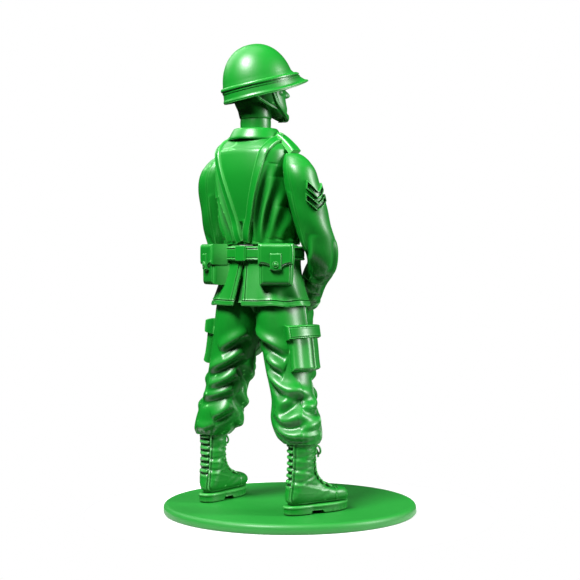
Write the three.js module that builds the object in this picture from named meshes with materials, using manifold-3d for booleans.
// A jointed toy soldier, about one twelfth of life size, standing on a round base.
// Millimetres, +Z up. The origin is the middle of the base's underside, and the figure faces -Y.
// The figure's own left is +X. It is moulded in separate plastic pieces that plug together.

import * as THREE from "three";
import { mergeVertices } from "three/addons/utils/BufferGeometryUtils.js";
import Module from "manifold-3d";

const wasm = await Module();
wasm.setup();

// ---------- Driving dimensions ----------

const GAP = 0.3; // between pieces that touch or seat in each other
const RUNNING = 0.35; // round a peg that turns in its socket

const BASE_RADIUS = 41;
const BASE_THICKNESS = 3.2;
const BASE_EDGE = 1.5; // rounding of the base's rim
const STANCE = { x: 3, y: 10 }; // where the figure stands on the base

const FOOT_PEG_RADIUS = 1.5;
const FOOT_PEG_HEIGHT = 4; // above the base
const FOOT_PEG_DEPTH = 2; // into the base

const SOLE_THICKNESS = 2.9;
const BOOT_LENGTH = 23.5;
const BOOT_HALF_WIDTH = 4.3;
const ANKLE_RADIUS = 3.7;
const SHAFT_RADIUS = 4.4; // at the top of the boot
const HEEL_SETBACK = 6; // from the ankle's axis to the back of the heel
const LEG_SPREAD = 18.7; // from the middle of the figure to each ankle
const ANKLES = { left: { y: 2.4, turn: 7 }, right: { y: 6.1, turn: -15 } };

const CUFF_HEIGHT = 22; // from the base to the trouser cuffs
const LEG_LENGTH = 36.5; // cuff to the top of the leg
const SEAT_HEIGHT = 18.6; // top of the leg to the waist core
const CORE_HEIGHT = 5.6;
const TORSO_HEIGHT = 36; // waist to the base of the neck
const SKIRT_DROP = 13.2; // below the belt
const SKIRT_WALL = 0.9;

const WAIST = { across: 12.7, deep: 9.3 };
const CHEST_HALF_WIDTH = 12.8;
const CHEST_DEPTH = 11;
const NECK_BACK = 4.6; // how far the neck stands behind the waist
const BELT_WALL = 0.9;
const BELT_HEIGHT = 5.6;

const ARMHOLE_RADIUS = 6.6;
const SLEEVE_RADIUS = 5.6;
const ELBOW_RADIUS = 4.9;
const WRIST_RADIUS = 3.3;
const UPPER_ARM = 26.6; // shoulder axis to elbow, measured down
const SHOULDER_DROP = 12.8; // base of the neck to the shoulder axis
const FOREARM_REACH = { inward: 13.8, forward: 10.6, down: 15 };
const HAND_LENGTH = 13;

const NECK_RADIUS = 4.5;
const NECK_HEIGHT = 7.6; // from the neck ball's centre to the top of the column
const NECK_BALL = 3.1;
const HEAD_TURN = -35; // the head looks to the figure's right
const HEAD_HEIGHT = 19.6;
const HEAD_HALF_WIDTH = 6.4;
const HEAD_HALF_DEPTH = 8.6;
const HELMET_WALL = 0.9;
const HELMET_TILT = 14; // the rim rises towards the front
const HELMET_HALF_WIDTH = 10.1;
const HELMET_HALF_LENGTH = 11.5;
const HELMET_HEIGHT = 13.7;
const BRIM_REACH = 4.1;
const RIM_LOW = -2.6; // the rim below the helmet's widest level
const FLARE_TOP = 3.2; // where the side starts to flare

const POUCH = { width: 10.2, height: 12.8, depth: 4.2, round: 33 };
const CARGO = { width: 11.5, height: 14.5, depth: 2.4, flap: 4.4 };
const STRAP_WIDTH = 2.6;
const STRAP_WALL = 0.7;
const PEG_RADIUS = 2;
const FLANGE_RADIUS = 3.1;

// ---------- Heights above the base, and places in the figure ----------

const SOLE_TOP = SOLE_THICKNESS;
const LEG_TOP = CUFF_HEIGHT + LEG_LENGTH;
const CORE_BOTTOM = LEG_TOP + GAP + SEAT_HEIGHT;
const WAIST_PLANE = CORE_BOTTOM + CORE_HEIGHT;
const NECK_BASE = WAIST_PLANE + GAP + TORSO_HEIGHT;
const SHOULDER_HEIGHT = NECK_BASE - SHOULDER_DROP;
const ARMHOLE_PLANE = CHEST_HALF_WIDTH + 0.1;
const BELT_BOTTOM = WAIST_PLANE - BELT_HEIGHT;
const SKIRT_TOP = BELT_BOTTOM + 2.4;
const HEM_HEIGHT = BELT_BOTTOM - SKIRT_DROP;
const BELT_INNER = WAIST.across + SKIRT_WALL + GAP;
const BELT_OUTER = BELT_INNER + BELT_WALL;
const BELT_DEEP = WAIST.deep + SKIRT_WALL + GAP;
const WAIST_Y = 1.2; // the waist's middle lies a little behind the figure's axis

const SHOULDER = new THREE.Vector3(ARMHOLE_PLANE, NECK_BACK - 1.1, SHOULDER_HEIGHT);
const ELBOW_FORWARD = 5.6; // the elbow clears the belt by standing ahead of its side
const ELBOW = new THREE.Vector3(BELT_OUTER + 4.3, -ELBOW_FORWARD, SHOULDER_HEIGHT - UPPER_ARM);
const WRIST = new THREE.Vector3(
  ELBOW.x - FOREARM_REACH.inward, ELBOW.y - FOREARM_REACH.forward, ELBOW.z - FOREARM_REACH.down);
const NECK_PIVOT = new THREE.Vector3(0, NECK_BACK, NECK_BASE - 2.4);
const HEAD_BASE = NECK_PIVOT.z + NECK_HEIGHT - 0.9;
const CHIN_HEIGHT = HEAD_BASE - 0.2;

// ---------- Plastic ----------

function plastic(color, roughness) {
  return new THREE.MeshStandardMaterial({ color, roughness, metalness: 0 });
}

const GREEN = plastic(0x12a032, 0.38);
const DARK_GREEN = plastic(0x0c8428, 0.42);
const SOFT_GREEN = plastic(0x1bab3c, 0.5);

// ---------- Shape helpers ----------

const X = new THREE.Vector3(1, 0, 0);
const Y = new THREE.Vector3(0, 1, 0);
const Z = new THREE.Vector3(0, 0, 1);
const degrees = THREE.MathUtils.degToRad;

function mirrored(point) {
  return new THREE.Vector3(-point.x, point.y, point.z);
}

/** A closed geometry as a solid that can be cut and joined. */
function solid(geometry) {
  const bare = geometry.clone();
  bare.deleteAttribute("normal");
  bare.deleteAttribute("uv");
  const merged = mergeVertices(bare, 1e-4);
  return new wasm.Manifold(new wasm.Mesh({
    numProp: 3,
    vertProperties: merged.attributes.position.array,
    triVerts: new Uint32Array(merged.index.array),
  }));
}

/** A solid's triangles as a geometry for a mesh. */
function geometryOf(body) {
  const made = body.getMesh();
  const geometry = new THREE.BufferGeometry();
  geometry.setAttribute("position", new THREE.BufferAttribute(new Float32Array(made.vertProperties), 3));
  geometry.setIndex(new THREE.BufferAttribute(new Uint32Array(made.triVerts), 1));
  geometry.computeVertexNormals();
  return geometry;
}

function piece(group, name, body, material) {
  const mesh = new THREE.Mesh(geometryOf(body), material);
  mesh.name = name;
  group.add(mesh);
  return mesh;
}

/**
 * A closed body through oval sections, one row each: [x, y, z, half-width, half-depth, squareness].
 * An upright loft has level sections. Otherwise they stand square to the line through their middles,
 * and `across` is the direction that the half-width lies along.
 */
function loft(rows, { around = 18, rings = 10, upright = true, across = X, grow = 0, rise = 0 } = {}) {
  const middles = new THREE.CatmullRomCurve3(rows.map((r) => new THREE.Vector3(r[0], r[1], r[2])));
  const sizes = new THREE.CatmullRomCurve3(rows.map((r) => new THREE.Vector3(r[3], r[4], r[5] ?? 2)));
  const geometry = new THREE.CylinderGeometry(1, 1, 1, around, rings);
  const position = geometry.attributes.position;
  const u = new THREE.Vector3();
  const v = new THREE.Vector3();
  for (let i = 0; i < position.count; i++) {
    const t = THREE.MathUtils.clamp(position.getY(i) + 0.5, 0, 1);
    const middle = middles.getPoint(t);
    const size = sizes.getPoint(t);
    const along = upright ? Z : middles.getTangent(t);
    u.copy(across).addScaledVector(along, -across.dot(along)).normalize();
    v.crossVectors(u, along);
    const reach = Math.hypot(position.getX(i), position.getZ(i));
    const angle = Math.atan2(position.getZ(i), position.getX(i));
    const round = (c) => Math.sign(c) * Math.abs(c) ** (2 / size.z);
    middle.addScaledVector(u, reach * (size.x + grow) * round(Math.cos(angle)));
    middle.addScaledVector(v, reach * (size.y + grow) * round(Math.sin(angle)));
    middle.z += rise * t * t;
    position.setXYZ(i, middle.x, middle.y, middle.z);
  }
  return solid(geometry);
}

/** A cylinder from `start`, `length` long, pointing along `direction`. */
function rod(radius, length, start, direction = Z, sides = 16) {
  const geometry = new THREE.CylinderGeometry(radius, radius, length, sides);
  geometry.translate(0, length / 2, 0);
  geometry.applyQuaternion(new THREE.Quaternion().setFromUnitVectors(Y, direction));
  geometry.translate(start.x, start.y, start.z);
  return solid(geometry);
}

function ball(radius, at, detail = 12) {
  const geometry = new THREE.SphereGeometry(radius, detail, Math.round(detail * 0.6));
  geometry.translate(at.x, at.y, at.z);
  return solid(geometry);
}

/** A box between two corners. */
function block(low, high) {
  const size = high.map((h, i) => h - low[i]);
  const geometry = new THREE.BoxGeometry(...size);
  geometry.translate(...low.map((l, i) => l + size[i] / 2));
  return solid(geometry);
}

/** A flat outline in X and Z, pushed through from y = low to y = high. */
function slab(outline, low, high) {
  const shape = new THREE.Shape(outline.map(([x, z]) => new THREE.Vector2(x, z)));
  const geometry = new THREE.ExtrudeGeometry(shape, { depth: high - low, bevelEnabled: false });
  geometry.rotateX(Math.PI / 2);
  geometry.translate(0, high, 0);
  return solid(geometry);
}

/** A box with bevelled edges, standing on z = 0 with its back on y = 0, facing -Y. */
function pad(width, height, depth, bevel) {
  const shape = new THREE.Shape();
  const w = width / 2 - bevel;
  shape.moveTo(-w, bevel);
  shape.lineTo(w, bevel);
  shape.lineTo(w, height - bevel);
  shape.lineTo(-w, height - bevel);
  const geometry = new THREE.ExtrudeGeometry(shape, {
    depth: depth - 2 * bevel, bevelEnabled: true, bevelSize: bevel, bevelThickness: bevel, bevelSegments: 1,
  });
  geometry.rotateX(Math.PI / 2);
  geometry.translate(0, -bevel, 0);
  return solid(geometry);
}

function turned(body, angle) {
  return body.rotate([0, 0, angle]);
}

function moved(body, x, y, z) {
  return body.translate([x, y, z]);
}

// ---------- The base and the pegs that hold the boots ----------

const figurine = new THREE.Group();
const figure = new THREE.Group();
figure.position.set(STANCE.x, STANCE.y, BASE_THICKNESS);
figurine.add(figure);

function ankle(side) {
  const place = side > 0 ? ANKLES.left : ANKLES.right;
  return { x: side * LEG_SPREAD, y: place.y, turn: place.turn };
}

function makeBase() {
  const edge = [];
  for (let i = 0; i <= 4; i++) {
    const a = (i / 4) * (Math.PI / 2);
    edge.push(new THREE.Vector2(
      BASE_RADIUS - BASE_EDGE + BASE_EDGE * Math.cos(a),
      BASE_THICKNESS - BASE_EDGE + BASE_EDGE * Math.sin(a)));
  }
  const profile = [new THREE.Vector2(0, 0), new THREE.Vector2(BASE_RADIUS - 0.5, 0),
    new THREE.Vector2(BASE_RADIUS, 0.5), ...edge, new THREE.Vector2(0, BASE_THICKNESS)];
  const lathe = new THREE.LatheGeometry(profile, 40);
  lathe.rotateX(Math.PI / 2);
  let disc = solid(lathe);
  for (const side of [1, -1]) {
    const at = ankle(side);
    const mouth = { x: STANCE.x + at.x, y: STANCE.y + at.y, z: BASE_THICKNESS - FOOT_PEG_DEPTH - GAP };
    disc = disc.subtract(rod(FOOT_PEG_RADIUS + GAP, BASE_THICKNESS, mouth));
  }
  piece(figurine, "base_disc", disc, GREEN);
}

function makeFootPeg(name, side) {
  const at = ankle(side);
  const start = { x: at.x, y: at.y, z: -FOOT_PEG_DEPTH };
  piece(figure, name, rod(FOOT_PEG_RADIUS, FOOT_PEG_DEPTH + FOOT_PEG_HEIGHT, start), DARK_GREEN);
}

// ---------- Boots, each turning on its foot peg and in its trouser cuff ----------

const SHAFT_TOP = CUFF_HEIGHT + 3; // inside the cuff
const BOOT_PEG_TOP = SHAFT_TOP + 5;

/** The plan of the sole, grown by `lip`: a round heel, a waist and a round toe. Forward is -Y. */
function soleOutline(lip) {
  const w = BOOT_HALF_WIDTH + lip;
  const heel = w * 0.8;
  const back = HEEL_SETBACK + lip;
  const toe = BOOT_LENGTH - HEEL_SETBACK + lip;
  const shape = new THREE.Shape();
  shape.moveTo(heel, back - heel);
  shape.absarc(0, back - heel, heel, 0, Math.PI, false);
  shape.lineTo(-w * 0.74, -1);
  shape.quadraticCurveTo(-w, -toe * 0.35, -w, -toe + w);
  shape.absarc(0, -toe + w, w, Math.PI, 2 * Math.PI, false);
  shape.quadraticCurveTo(w, -toe * 0.35, w * 0.74, -1);
  return shape;
}

function makeBoot(name, side) {
  const at = ankle(side);
  const boot = new THREE.Group();
  boot.position.set(at.x, at.y, 0);
  boot.rotation.z = degrees(at.turn);
  figure.add(boot);

  const outsole = new THREE.ExtrudeGeometry(soleOutline(0.5),
    { depth: SOLE_THICKNESS - GAP, bevelEnabled: false, curveSegments: 5 });
  const instep = block([-9, -5.2, -1], [9, -1.4, 1 + GAP]);
  const pegHole = rod(FOOT_PEG_RADIUS + RUNNING, FOOT_PEG_HEIGHT + 2 * GAP + 1, { x: 0, y: 0, z: -1 });
  const sole = moved(solid(outsole), 0, 0, GAP).subtract(instep).subtract(pegHole);
  piece(boot, name + "_sole", sole, DARK_GREEN);

  const toe = -(BOOT_LENGTH - HEEL_SETBACK) + 0.3;
  const footMiddle = (HEEL_SETBACK + toe) / 2;
  const footHalf = (HEEL_SETBACK - toe) / 2 - 0.2;
  const foot = loft([
    [0, footMiddle, SOLE_TOP + GAP, BOOT_HALF_WIDTH - 0.3, footHalf, 2.6],
    [0, footMiddle + 0.1, SOLE_TOP + 2.2, BOOT_HALF_WIDTH - 0.1, footHalf - 0.3, 2.5],
    [0, footMiddle + 1.2, SOLE_TOP + 4.6, BOOT_HALF_WIDTH - 0.9, footHalf - 1.9, 2.4],
    [0, 0.2, SOLE_TOP + 6.6, ANKLE_RADIUS - 0.2, ANKLE_RADIUS + 1.4, 2.2],
    [0, 0.5, SOLE_TOP + 8.6, ANKLE_RADIUS - 0.3, ANKLE_RADIUS + 0.6, 2.1],
  ], { rings: 6, around: 16 });
  const shaft = loft([
    [0, 0.7, SOLE_TOP + 4, ANKLE_RADIUS - 0.2, ANKLE_RADIUS + 1.4],
    [0, 0.5, SOLE_TOP + 8, ANKLE_RADIUS - 0.2, ANKLE_RADIUS + 0.5],
    [0, 0.2, SOLE_TOP + 13, ANKLE_RADIUS + 0.2, ANKLE_RADIUS + 0.3],
    [0, 0, CUFF_HEIGHT - 1, SHAFT_RADIUS, SHAFT_RADIUS],
    [0, 0, SHAFT_TOP, SHAFT_RADIUS, SHAFT_RADIUS],
  ], { rings: 5, around: 16 });
  const upper = foot.add(shaft).subtract(pegHole)
    .subtract(rod(PEG_RADIUS + 0.4 + GAP, 8, { x: 0, y: 0, z: SHAFT_TOP - 5 }));
  const laceStrip = makeLaces();
  piece(boot, name + "_upper", upper.subtract(laceStrip.room), GREEN);
  piece(boot, name + "_laces", laceStrip.strip, SOFT_GREEN);
  const peg = rod(PEG_RADIUS + 0.4, BOOT_PEG_TOP - SHAFT_TOP + 4.5, { x: 0, y: 0, z: SHAFT_TOP - 4.5 });
  piece(boot, name + "_swivel_peg", peg, DARK_GREEN);
}

/** The tongue and its lace rungs: a strip down the front of the boot, and the room that it is let into. */
function makeLaces() {
  const front = SHAFT_RADIUS;
  const line = [
    [0, -front + 0.1, CUFF_HEIGHT - 0.6], [0, -ANKLE_RADIUS - 0.2, SOLE_TOP + 11],
    [0, -ANKLE_RADIUS - 1.6, SOLE_TOP + 7.2], [0, -ANKLE_RADIUS - 5.4, SOLE_TOP + 4.9],
  ];
  const rows = (wide, thick) => line.map(([x, y, z]) => [x, y, z, wide, thick, 3]);
  const options = { upright: false, rings: 6, around: 8 };
  return {
    strip: loft(rows(1.5, 0.6), options),
    room: loft(rows(1.5 + GAP, 0.6 + GAP), options),
  };
}

// ---------- Trousers, pelvis and cargo pockets ----------

/** Each row: share of the leg's length, share of the ankle's spread, half-width and half-depth. */
const LEG_SHAPE = [
  [0, 1, SHAFT_RADIUS + 1.2, SHAFT_RADIUS + 1.2], [0.06, 0.94, 7.1, 7], [0.19, 0.84, 7.8, 7.5],
  [0.36, 0.76, 6.9, 7.2], [0.58, 0.635, 7, 7.8], [0.8, 0.53, 7.3, 8.7], [1, 0.435, 7.7, 9.6],
];

function legRows(side) {
  const at = ankle(side);
  return LEG_SHAPE.map(([share, spread, across, deep]) => [
    at.x * spread, at.y + (WAIST_Y + 0.4 - at.y) * Math.min(1, share * 1.25),
    CUFF_HEIGHT + LEG_LENGTH * share, across, deep]);
}

function makeLeg(name, side) {
  const at = ankle(side);
  const socket = rod(SHAFT_RADIUS + RUNNING, SHAFT_TOP - CUFF_HEIGHT + 1 + GAP,
    { x: at.x, y: at.y, z: CUFF_HEIGHT - 1 }, Z, 20);
  const pegBore = rod(PEG_RADIUS + 0.4 + RUNNING, BOOT_PEG_TOP - SHAFT_TOP + 2 * GAP + 2,
    { x: at.x, y: at.y, z: SHAFT_TOP - 2 });
  const leg = loft(legRows(side), { rings: 9, around: 16 });
  piece(figure, name, leg.subtract(socket).subtract(pegBore), GREEN);
  return loft(legRows(side), { rings: 9, around: 16, grow: GAP });
}

function seatRows() {
  return [
    [0, WAIST_Y + 0.4, LEG_TOP + GAP, WAIST.across + 1.6, 10.4, 2.3],
    [0, WAIST_Y + 0.4, LEG_TOP + GAP + SEAT_HEIGHT * 0.5, WAIST.across + 0.6, 10.0, 2.2],
    [0, WAIST_Y, LEG_TOP + GAP + SEAT_HEIGHT * 0.8, WAIST.across - 0.3, WAIST.deep - 0.3, 2.1],
    [0, WAIST_Y, CORE_BOTTOM - GAP, WAIST.across - 0.3, WAIST.deep - 0.3, 2.1],
  ];
}

function makeSeatAndCore() {
  const pegBore = rod(PEG_RADIUS + 1 + RUNNING, 30, { x: 0, y: WAIST_Y, z: CORE_BOTTOM - 4 });
  const flangeRoom = rod(FLANGE_RADIUS + 1.4 + RUNNING, 3, { x: 0, y: WAIST_Y, z: CORE_BOTTOM - 5 - GAP });
  piece(figure, "trouser_seat",
    loft(seatRows(), { rings: 4, around: 20 }).subtract(pegBore).subtract(flangeRoom), GREEN);
  const core = loft([
    [0, WAIST_Y, CORE_BOTTOM, WAIST.across - GAP, WAIST.deep - GAP, 2.1],
    [0, WAIST_Y, WAIST_PLANE, WAIST.across - GAP, WAIST.deep - GAP, 2.1],
  ], { rings: 1, around: 24 });
  piece(figure, "pelvis_core", core.subtract(pegBore), DARK_GREEN);
}

/** The waist peg turns with the torso: a shaft through the core, with a flange that keeps it in. */
function makeWaistPeg() {
  const foot = { x: 0, y: WAIST_Y, z: CORE_BOTTOM - 4 };
  const shaft = rod(PEG_RADIUS + 1, WAIST_PLANE + 6 - foot.z, foot);
  const flange = rod(FLANGE_RADIUS + 1.4, 2, { x: 0, y: WAIST_Y, z: CORE_BOTTOM - 4.8 });
  piece(figure, "waist_peg", shaft.add(flange), DARK_GREEN);
}

/** A pocket follows the leg that it is sewn to, and its flap stands out a little further. */
function makeCargoPocket(name, side, legSkin) {
  const base = LEG_TOP - GAP - CARGO.height;
  const skin = (grow) => loft(legRows(side), { rings: 9, around: 16, grow });
  const window = (width, low, high) => moved(turned(pad(width, high - low, 30, 0.5), side * 100),
    side * LEG_SPREAD * 0.53, WAIST_Y, base + low);
  const seam = CARGO.height - CARGO.flap;
  const bag = skin(GAP + CARGO.depth).intersect(window(CARGO.width, 0, seam - GAP)).subtract(legSkin);
  const flap = skin(GAP + CARGO.depth + 0.6).intersect(window(CARGO.width + 0.9, seam, CARGO.height))
    .subtract(legSkin);
  piece(figure, name + "_pocket", largest(bag), GREEN);
  piece(figure, name + "_pocket_flap", largest(flap), SOFT_GREEN);
}

// ---------- Jacket skirt, belt and pouches ----------

function skirtRows(inset) {
  const hem = { across: WAIST.across + 4.9, deep: WAIST.deep + 2.7 };
  const middle = { across: WAIST.across + 2.6, deep: WAIST.deep + 1.9 };
  const top = { across: WAIST.across + SKIRT_WALL, deep: WAIST.deep + SKIRT_WALL };
  return [
    [0, WAIST_Y + 0.3, HEM_HEIGHT, hem.across - inset, hem.deep - inset, 2.1],
    [0, WAIST_Y + 0.2, HEM_HEIGHT + SKIRT_DROP * 0.45, middle.across - inset, middle.deep - inset, 2.1],
    [0, WAIST_Y, BELT_BOTTOM - 1, top.across - inset, top.deep - inset, 2.1],
    [0, WAIST_Y, SKIRT_TOP, top.across - inset, top.deep - inset, 2.1],
  ];
}

function makeSkirt() {
  const ring = loft(skirtRows(0), { rings: 4, around: 24 })
    .subtract(loft(skirtRows(SKIRT_WALL), { rings: 4, around: 24 }));
  const below = HEM_HEIGHT - 2;
  const vent = slab([[-0.3, BELT_BOTTOM], [0.3, BELT_BOTTOM], [2.6, below], [-0.8, below]], WAIST_Y, 30);
  const split = block([-GAP / 2, -30, HEM_HEIGHT - 5], [GAP / 2, 30, SKIRT_TOP + 5]);
  for (const side of [1, -1]) {
    const half = block([side > 0 ? 0 : -40, -40, 0], [side > 0 ? 40 : 0, 40, 200]);
    piece(figure, (side > 0 ? "left" : "right") + "_skirt_panel",
      ring.intersect(half).subtract(vent).subtract(split), GREEN);
  }
}

function ovalRing(across, deep, wall, low, high) {
  const rows = (grow) => [low, high].map((z) => [0, WAIST_Y, z, across + grow, deep + grow, 2.1]);
  const outer = loft(rows(wall), { rings: 1, around: 24 });
  const hole = [low - 1, high + 1].map((z) => [0, WAIST_Y, z, across, deep, 2.1]);
  return outer.subtract(loft(hole, { rings: 1, around: 24 }));
}

/** The belt's outside grown by a gap, for cutting what sits on it. */
function beltSkin() {
  const deep = BELT_DEEP + BELT_WALL + GAP;
  const rows = [BELT_BOTTOM - 30, WAIST_PLANE + 30].map((z) => [0, WAIST_Y, z, BELT_OUTER + GAP, deep, 2.1]);
  return loft(rows, { rings: 1, around: 24 });
}

function makeBelt() {
  piece(figure, "belt", ovalRing(BELT_INNER, BELT_DEEP, BELT_WALL, BELT_BOTTOM, WAIST_PLANE - GAP), GREEN);
  const skin = beltSkin();
  const front = WAIST_Y - BELT_DEEP - BELT_WALL;
  const buckle = moved(pad(8.4, BELT_HEIGHT + 0.6, 2.4, 0.5), 0, front + 1.3, BELT_BOTTOM - 0.3);
  piece(figure, "belt_buckle", buckle.subtract(skin), SOFT_GREEN);
  const back = WAIST_Y + BELT_DEEP + BELT_WALL;
  const keeper = turned(pad(2.6, BELT_HEIGHT + 0.5, 1.9, 0.3), 180);
  piece(figure, "belt_keeper", moved(keeper, 1.6, back - 1.1, BELT_BOTTOM - 0.25).subtract(skin), SOFT_GREEN);
}

function makePouch(name, side) {
  const skin = beltSkin();
  const skirt = loft(skirtRows(0), { rings: 4, around: 24, grow: GAP });
  const place = (body) => moved(turned(body, side * (180 - POUCH.round)), side * 9, WAIST_Y + 4.5,
    WAIST_PLANE + 0.4 - POUCH.height);
  const bag = place(moved(pad(POUCH.width, POUCH.height * 0.66, POUCH.depth + 4, 0.9), 0, 0, 0));
  const flap = place(moved(pad(POUCH.width + 0.6, POUCH.height * 0.34 - GAP, POUCH.depth + 4.4, 0.8), 0, 0,
    POUCH.height * 0.66 + GAP));
  piece(figure, name + "_pouch", bag.subtract(skin).subtract(skirt), GREEN);
  piece(figure, name + "_pouch_flap", flap.subtract(skin).subtract(skirt), SOFT_GREEN);
}

// ---------- Jacket: front and back halves, collar and straps ----------

function torsoRows() {
  const up = (share) => WAIST_PLANE + GAP + TORSO_HEIGHT * share;
  const w = CHEST_HALF_WIDTH;
  const d = CHEST_DEPTH;
  const y = (share) => WAIST_Y + (NECK_BACK - WAIST_Y) * share;
  return [
    [0, y(0), up(0), WAIST.across, WAIST.deep, 2.2],
    [0, y(0.15), up(0.18), WAIST.across + 0.3, WAIST.deep + 0.6, 2.3],
    [0, y(0.5), up(0.42), w - 0.1, d - 0.3, 2.5],
    [0, y(0.7), up(0.62), w, d, 2.7],
    [0, y(0.9), up(0.78), w, d - 1, 2.8],
    [0, y(1), up(0.865), w - 0.7, d - 2.5, 2.6],
    [0, y(1), up(0.918), w - 3.4, d - 3.9, 2.4],
    [0, y(1), up(0.96), 6.9, 6.2, 2],
    [0, y(1), up(1), 4.9, 4.6, 2],
  ];
}

function torsoBody(grow, rise) {
  return loft(torsoRows(), { rings: 11, around: 24, grow, rise });
}

function makeJacket() {
  const neckSocket = ball(NECK_BALL + RUNNING, NECK_PIVOT)
    .add(rod(NECK_BALL - 0.2, 6, NECK_PIVOT))
    .add(loft([
      [0, NECK_BACK, NECK_PIVOT.z + 1, 2.4, 2.4],
      [0, NECK_BACK, NECK_BASE + 1, NECK_RADIUS + 0.9, NECK_RADIUS + 0.9],
    ], { rings: 1, around: 16 }));
  const waistSocket = rod(PEG_RADIUS + 1 + GAP, 7, { x: 0, y: WAIST_Y, z: WAIST_PLANE - 0.5 });
  let torso = torsoBody(0, 0).subtract(neckSocket).subtract(waistSocket);
  for (const side of [1, -1]) {
    torso = torso.subtract(shoulderPeg(side, RUNNING));
  }
  const seam = WAIST_Y + (NECK_BACK - WAIST_Y) * 0.75;
  const front = block([-40, -40, 0], [40, seam - GAP / 2, 200]);
  const back = block([-40, seam + GAP / 2, 0], [40, 40, 200]);
  piece(figure, "jacket_front", torso.intersect(front), GREEN);
  piece(figure, "jacket_back", torso.intersect(back), GREEN);
}

const COLLAR_WALL = 1;
const COLLAR_HEIGHT = 2.2;

function makeCollar() {
  const rows = (inset) => [
    [0, NECK_BACK, NECK_BASE - 1.6, 8.5 - inset, 7.9 - inset],
    [0, NECK_BACK, NECK_BASE + 0.6, 7.3 - inset, 6.9 - inset],
    [0, NECK_BACK, NECK_BASE + COLLAR_HEIGHT, 6.6 - inset, 6.4 - inset],
  ];
  const layers = [0, COLLAR_WALL].map((inset) => loft(rows(inset), { rings: 3, around: 20 }));
  const ring = layers[0].subtract(layers[1]);
  const [low, high] = [NECK_BASE - 3, NECK_BASE + 6];
  const throat = slab([[-0.8, low], [0.8, low], [4, high], [-4, high]], -30, NECK_BACK);
  piece(figure, "collar", largest(ring.subtract(torsoBody(GAP, GAP)).subtract(throat)), SOFT_GREEN);
}

/** The biggest of a body's separate lumps, so that no crumb from a cut is left beside it. */
function largest(body) {
  return body.decompose().reduce((a, b) => (a.volume() > b.volume() ? a : b));
}

/** A layer over the jacket, from `inner` to `outer` above its surface. */
function jacketLayer(inner, outer) {
  return torsoBody(outer, outer * 0.6).subtract(torsoBody(inner, inner * 0.6))
    .subtract(block([-40, -40, 0], [40, 40, WAIST_PLANE + 2 * GAP]));
}

const STRAP_AT = 10; // from the middle of the figure, over the shoulder

function makeSuspender(name, side, layer) {
  const w = STRAP_WIDTH / 2;
  const shoulder = STRAP_AT;
  const low = WAIST_PLANE;
  const high = NECK_BASE + 5;
  const bend = NECK_BASE - 4;
  const backLine = [[w + 0.3, low], [shoulder, bend], [shoulder, high]];
  const strap = (line) => [...line.map(([x, z]) => [side * (x - w), z]),
    ...line.map(([x, z]) => [side * (x + w), z]).reverse()];
  const wind = (outline) => (side > 0 ? outline.slice().reverse() : outline);
  const back = slab(wind(strap(backLine)), NECK_BACK - 0.01, 40);
  const front = slab(wind(strap([[shoulder, low], [shoulder, high]])), -40, NECK_BACK);
  piece(figure, name, largest(layer.intersect(back.add(front))), SOFT_GREEN);
}

/** It lies on the jacket, and is let out over the brace that passes beneath it. */
function makeShoulderStrap(name, side) {
  const inner = side * (STRAP_AT - STRAP_WIDTH / 2);
  const outer = side * (ARMHOLE_PLANE - 0.2);
  const notch = side * (STRAP_AT + STRAP_WIDTH / 2 + GAP);
  const under = block([Math.min(0, notch), -40, 0], [Math.max(0, notch), 40, 200]);
  const layer = jacketLayer(GAP, 2 * GAP + 2 * STRAP_WALL)
    .subtract(jacketLayer(0, 2 * GAP + STRAP_WALL).intersect(under));
  const region = block([Math.min(inner, outer), NECK_BACK - 3, NECK_BASE - 12],
    [Math.max(inner, outer), NECK_BACK + 2.2, NECK_BASE + 8]);
  piece(figure, name, largest(layer.intersect(region)), SOFT_GREEN);
}

function makeChestPocket(name, side) {
  const pocket = moved(pad(6.6, 8, 8, 0.5), side * 4.7, -1.2, SHOULDER_HEIGHT - 9.5);
  piece(figure, name, largest(pocket.subtract(torsoBody(GAP, 0))), GREEN);
}

// ---------- Neck and head ----------

function makeNeck() {
  const top = NECK_PIVOT.z + NECK_HEIGHT;
  const column = loft([
    [0, NECK_BACK, NECK_PIVOT.z + 2.6, 2.6, 2.6],
    [0, NECK_BACK, NECK_PIVOT.z + 4.2, NECK_RADIUS, NECK_RADIUS],
    [0, NECK_BACK, top, NECK_RADIUS - 0.5, NECK_RADIUS - 0.5],
  ], { rings: 4, around: 16 });
  const stem = rod(2.2, 4, NECK_PIVOT);
  const post = rod(PEG_RADIUS, 5, { x: 0, y: NECK_BACK, z: top - 1 });
  const flange = rod(FLANGE_RADIUS - 0.3, 1.4, { x: 0, y: NECK_BACK, z: top + 2.6 });
  const neck = ball(NECK_BALL, NECK_PIVOT).add(stem).add(column).add(post).add(flange);
  piece(figure, "neck_post", neck, DARK_GREEN);
}

const headGroup = new THREE.Group();
headGroup.position.set(0, NECK_BACK, 0);
headGroup.rotation.z = degrees(HEAD_TURN);
figure.add(headGroup);

function headRows() {
  const w = HEAD_HALF_WIDTH;
  const d = HEAD_HALF_DEPTH;
  const up = (share) => CHIN_HEIGHT + HEAD_HEIGHT * share;
  return [
    [0, -8.1, up(0), 1.6, 1.8],
    [0, -6.6, up(0.05), 3.0, 3.7, 2.2],
    [0, -4.3, up(0.15), 4.6, 5.9, 2.2],
    [0, -2.4, up(0.3), 5.6, 7.6, 2.2],
    [0, -1.6, up(0.5), w - 0.2, d, 2.2],
    [0, -1.2, up(0.72), w, d, 2.1],
    [0, -1.0, up(0.9), w - 1.6, d - 2],
    [0, -1.0, up(1), 1.4, 2],
  ];
}

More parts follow.
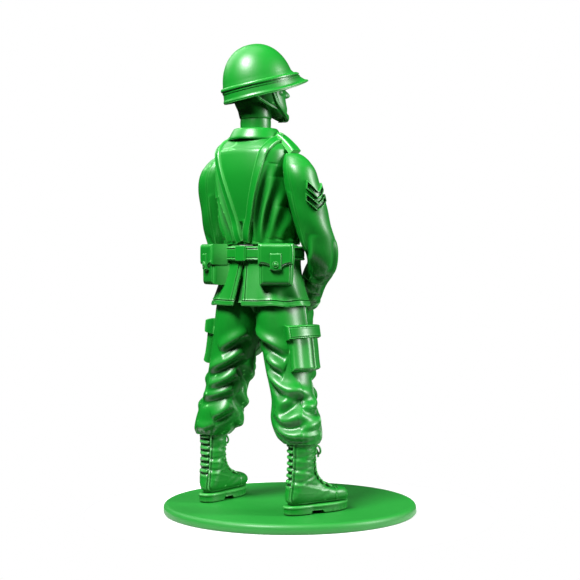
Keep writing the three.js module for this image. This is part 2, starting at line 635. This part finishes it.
/** Both ears, grown by `grow` where they are a room to cut. */
function ears(grow) {
  const [left, right] = [1, -1].map((side) => loft([
    [side * (HEAD_HALF_WIDTH - 0.2), 0.4, CHIN_HEIGHT + 5.8, 0.5, 0.9],
    [side * (HEAD_HALF_WIDTH + 0.1), 0.7, CHIN_HEIGHT + 8.4, 0.8, 1.6],
    [side * (HEAD_HALF_WIDTH - 0.1), 0.8, CHIN_HEIGHT + 10.4, 0.6, 1.3],
  ], { rings: 3, around: 8, grow, rise: grow }));
  return left.add(right);
}

function makeHead() {
  const skull = loft(headRows(), { rings: 10, around: 16 });
  const nose = loft([
    [0, -9.6, CHIN_HEIGHT + 6.4, 1.2, 2.1],
    [0, -9.2, CHIN_HEIGHT + 8.2, 0.9, 1.7],
    [0, -8.6, CHIN_HEIGHT + 10.8, 0.7, 1.3],
  ], { rings: 3, around: 8 });
  const head = skull.add(nose).add(ears(0));
  const top = NECK_PIVOT.z + NECK_HEIGHT;
  const neckRoom = rod(NECK_RADIUS - 0.3 + GAP, 6, { x: 0, y: 0, z: top + GAP - 6 });
  const postRoom = rod(PEG_RADIUS + RUNNING, 6, { x: 0, y: 0, z: top - 1 });
  const flangeRoom = rod(FLANGE_RADIUS - 0.3 + RUNNING, 2.2, { x: 0, y: 0, z: top + 2.2 });
  piece(headGroup, "head", head.subtract(neckRoom).subtract(postRoom).subtract(flangeRoom), GREEN);
}

/** Where the helmet's own frame stands in the head's: tilted back about a line across the head. */
const HELMET_PIVOT = new THREE.Vector3(0, -1.2, CHIN_HEIGHT + 9.6);

function helmetPlace(geometry) {
  geometry.rotateX(-degrees(HELMET_TILT));
  geometry.translate(HELMET_PIVOT.x, HELMET_PIVOT.y, HELMET_PIVOT.z);
  return solid(geometry);
}

/**
 * A helmet layer: a dome turned about Z, made oval, with its rim flared and drawn out into a brim in front.
 * `outset` moves the wall in or out, and the profile runs down the inside and back up the outside.
 */
function dome(outset, wall, low, flare) {
  const steps = 6;
  const arc = [];
  for (let i = 0; i <= steps; i++) {
    const a = (i / steps) * (Math.PI / 2);
    arc.push(new THREE.Vector2(Math.sin(a) ** 0.9, Math.cos(a)));
  }
  const h = HELMET_HEIGHT + outset;
  const r = HELMET_HALF_WIDTH + outset;
  const profile = arc.map((p) => new THREE.Vector2((r - wall) * p.x, (h - wall) * p.y));
  profile.push(new THREE.Vector2(r - wall, low), new THREE.Vector2(r, low));
  profile.push(...arc.reverse().map((p) => new THREE.Vector2(r * p.x, h * p.y)));
  const lathe = new THREE.LatheGeometry(profile, 22);
  lathe.rotateX(Math.PI / 2);
  const position = lathe.attributes.position;
  for (let i = 0; i < position.count; i++) {
    let x = position.getX(i);
    let y = position.getY(i) * ((HELMET_HALF_LENGTH + outset) / r);
    let z = position.getZ(i);
    const rim = THREE.MathUtils.clamp((FLARE_TOP - z) / (FLARE_TOP - RIM_LOW), 0, 1) * flare;
    const ahead = Math.max(0, -y / HELMET_HALF_LENGTH) ** 3;
    x *= 1 + 0.06 * rim;
    y *= 1 + 0.05 * rim;
    y -= BRIM_REACH * ahead * rim;
    z += 1.4 * ahead * rim;
    position.setXYZ(i, x, y, z);
  }
  return lathe;
}

function makeHelmet() {
  const shell = helmetPlace(dome(0, HELMET_WALL, RIM_LOW, 1));
  piece(headGroup, "helmet_shell", shell, GREEN);
  const liner = helmetPlace(dome(-HELMET_WALL - GAP, 1.2, 1.2, 0));
  const skull = loft(headRows(), { rings: 10, around: 16, grow: GAP, rise: GAP });
  piece(headGroup, "helmet_liner", largest(liner.subtract(skull).subtract(ears(GAP))), DARK_GREEN);
  const bandSolid = helmetPlace(dome(GAP + 0.6, 0.6, 0, 1));
  const cut = new THREE.BoxGeometry(60, 60, 40);
  cut.translate(0, 0, 20 + 1.9);
  piece(headGroup, "helmet_band", bandSolid.subtract(helmetPlace(cut)), SOFT_GREEN);
}

function strapGeometry(points, width, thick) {
  const curve = new THREE.CatmullRomCurve3(points);
  const shape = new THREE.Shape();
  shape.moveTo(-thick / 2, -width / 2);
  shape.lineTo(thick / 2, -width / 2);
  shape.lineTo(thick / 2, width / 2);
  shape.lineTo(-thick / 2, width / 2);
  return solid(new THREE.ExtrudeGeometry(shape, { steps: 20, extrudePath: curve, bevelEnabled: false }));
}

function makeStraps() {
  const c = CHIN_HEIGHT;
  const rightSide = [
    [-7.7, -2.8, c + 6.6], [-6.9, -4.4, c + 4.4], [-5.4, -7.2, c + 1.6], [-3.2, -9.6, c - 0.1],
  ];
  const chin = [0, -10.7, c - 0.5];
  const line = [...rightSide, chin, ...rightSide.slice().reverse().map(([x, y, z]) => [-x, y, z])];
  const skull = loft(headRows(), { rings: 10, around: 16, grow: GAP });
  const strap = strapGeometry(line.map((p) => new THREE.Vector3(...p)), 1.5, 0.9);
  piece(headGroup, "chin_strap", largest(strap.subtract(skull)), SOFT_GREEN);
}

// ---------- Arms ----------

function shoulderPeg(side, grow) {
  const tip = ARMHOLE_PLANE - 6.2;
  const inward = new THREE.Vector3(-side, 0, 0);
  const start = new THREE.Vector3(side * (ARMHOLE_PLANE + 4), SHOULDER.y, SHOULDER.z);
  const shaft = rod(PEG_RADIUS + grow, ARMHOLE_PLANE + 4 - tip + grow, start, inward);
  const flangeStart = new THREE.Vector3(side * (tip + 1.6 + grow), SHOULDER.y, SHOULDER.z);
  const flange = rod(FLANGE_RADIUS + grow, 1.6 + 2 * grow, flangeStart, inward);
  return shaft.add(flange);
}

function upperSleeveRows(side) {
  const s = side;
  const x = ARMHOLE_PLANE + SLEEVE_RADIUS - 0.7;
  const top = SHOULDER_HEIGHT + ARMHOLE_RADIUS + 0.5;
  const down = (share) => top - (top - ELBOW.z) * share;
  const y = (share) => SHOULDER.y + (ELBOW.y - SHOULDER.y) * share;
  return [
    [s * ELBOW.x, y(1), down(1), ELBOW_RADIUS + 0.3, ELBOW_RADIUS + 0.3],
    [s * (ELBOW.x - 0.2), y(0.8), down(0.8), SLEEVE_RADIUS - 0.2, SLEEVE_RADIUS],
    [s * (x + 0.6), y(0.45), down(0.55), SLEEVE_RADIUS, SLEEVE_RADIUS + 0.3],
    [s * x, y(0.1), down(0.3), SLEEVE_RADIUS + 0.2, SLEEVE_RADIUS + 0.8],
    [s * (x - 0.6), y(0), down(0.13), SLEEVE_RADIUS - 0.2, SLEEVE_RADIUS + 0.4],
    [s * (x - 2.4), y(0), down(0.04), SLEEVE_RADIUS - 2, SLEEVE_RADIUS - 1.4],
    [s * (x - 3.2), y(0), down(0), 1.6, 2.4],
  ];
}

/** The lower arm, hand and wrist run from the elbow's ball to the wrist. */
function forearmRows(side) {
  const s = side;
  const at = (share) => {
    const p = ELBOW.clone().lerp(WRIST, share);
    return [s * p.x, p.y, p.z];
  };
  return [
    [...at(0), ELBOW_RADIUS - 1.2, ELBOW_RADIUS - 1.4],
    [...at(0.2), 4.4, 4.1],
    [...at(0.45), 4.3, 3.7],
    [...at(0.8), 3.7, 3.4],
    [...at(1), WRIST_RADIUS + 0.3, WRIST_RADIUS],
  ];
}

function makeArm(name, side) {
  const elbow = side > 0 ? ELBOW : mirrored(ELBOW);
  const wrist = side > 0 ? WRIST : mirrored(WRIST);
  const forearmAxis = wrist.clone().sub(elbow).normalize();

  const insideArmhole = block(side > 0 ? [-60, -60, 0] : [-(ARMHOLE_PLANE + GAP), -60, 0],
    side > 0 ? [ARMHOLE_PLANE + GAP, 60, 200] : [60, 60, 200]);
  const sleeveTop = new THREE.Vector3(side * (ARMHOLE_PLANE + 5), SHOULDER.y, SHOULDER.z);
  const upperArmAxis = elbow.clone().sub(sleeveTop).normalize();
  const below = rod(20, 40, elbow.clone().addScaledVector(upperArmAxis, -4), upperArmAxis);
  const upper = loft(upperSleeveRows(side), { rings: 9, around: 16 })
    .subtract(insideArmhole)
    .subtract(below)
    .subtract(ball(ELBOW_RADIUS + GAP, elbow))
    .subtract(torsoBody(GAP, 0))
    .subtract(shoulderPeg(side, GAP));
  piece(figure, name + "_upper_sleeve", upper, GREEN);
  piece(figure, name + "_shoulder_peg", shoulderPeg(side, 0), DARK_GREEN);

  const wristBore = rod(1.6 + GAP, 5 + GAP, wrist.clone().addScaledVector(forearmAxis, -5), forearmAxis);
  const across = new THREE.Vector3().crossVectors(forearmAxis, Z).normalize().cross(forearmAxis);
  const lower = loft(forearmRows(side), { upright: false, across, rings: 6, around: 14 })
    .add(ball(ELBOW_RADIUS, elbow)).subtract(wristBore);
  piece(figure, name + "_lower_sleeve", lower, GREEN);
  makeHand(name, side, wrist, forearmAxis);
}

/** A relaxed hand, hanging from its cuff with the fingers down, and the peg that plugs it in. */
function makeHand(name, side, wrist, forearmAxis) {
  const start = wrist.clone().addScaledVector(forearmAxis, GAP + 0.5);
  const point = (inward, ahead, down) => [start.x - side * inward, start.y - ahead, start.z - down];
  const palm = loft([
    [...point(0, 0, 0), 1.9, 2.0],
    [...point(0.6, 0.9, 1.9), 2.2, 1.6, 2.4],
    [...point(0.8, 1.5, 5.2), 3.1, 1.5, 2.8],
    [...point(0.7, 1.6, 9.2), 2.7, 1.2, 2.8],
    [...point(0.5, 1.3, HAND_LENGTH), 1.6, 0.7, 2.4],
  ], { upright: false, across: Y, rings: 8, around: 12 });
  const peg = rod(1.6, 4.6, wrist.clone().addScaledVector(forearmAxis, -4), forearmAxis);
  piece(figure, name + "_hand", palm.add(peg), GREEN);
}

/** Two rank stripes on a thin patch, set on the outside of the upper sleeve. */
function makeRankPatch(name, side) {
  const skin = loft(upperSleeveRows(side), { rings: 9, around: 16, grow: GAP });
  const face = loft(upperSleeveRows(side), { rings: 9, around: 16, grow: GAP + 0.6 });
  const z = SHOULDER_HEIGHT - 7.4;
  const y = SHOULDER.y - 0.8;
  const stripe = (low) => new THREE.Shape([
    [-3.4, low], [0, low - 3], [3.4, low], [3.4, low + 1.6], [0, low - 1.4], [-3.4, low + 1.6],
  ].map(([a, b]) => new THREE.Vector2(a, b)));
  const cut = (shape) => {
    const geometry = new THREE.ExtrudeGeometry(shape, { depth: 14, bevelEnabled: false });
    geometry.rotateX(Math.PI / 2);
    geometry.rotateZ(side * Math.PI / 2);
    geometry.translate(side * 18, y, z);
    return solid(geometry);
  };
  const joined = cut(stripe(0)).add(cut(stripe(-2.4))).add(cut(new THREE.Shape([
    [-0.6, -5.2], [0.6, -5.2], [0.6, -1], [-0.6, -1],
  ].map(([a, b]) => new THREE.Vector2(a, b)))));
  piece(figure, name, largest(face.subtract(skin).intersect(joined)), SOFT_GREEN);
}

// ---------- Assembly ----------

makeBase();
for (const [name, side] of [["left", 1], ["right", -1]]) {
  makeFootPeg(name + "_foot_peg", side);
  makeBoot(name + "_boot", side);
  const legSkin = makeLeg(name + "_trouser_leg", side);
  makeCargoPocket(name + "_cargo", side, legSkin);
  makePouch(name + "_belt", side);
  makeArm(name, side);
  makeChestPocket(name + "_chest_pocket", side);
}
makeSeatAndCore();
makeWaistPeg();
makeSkirt();
makeBelt();
makeJacket();
makeCollar();
const strapLayer = jacketLayer(GAP, GAP + STRAP_WALL);
for (const [name, side] of [["left", 1], ["right", -1]]) {
  makeSuspender(name + "_suspender", side, strapLayer);
  makeShoulderStrap(name + "_shoulder_strap", side);
}
makeRankPatch("right_rank_patch", -1);
makeNeck();
makeHead();
makeHelmet();
makeStraps();

export default figurine;
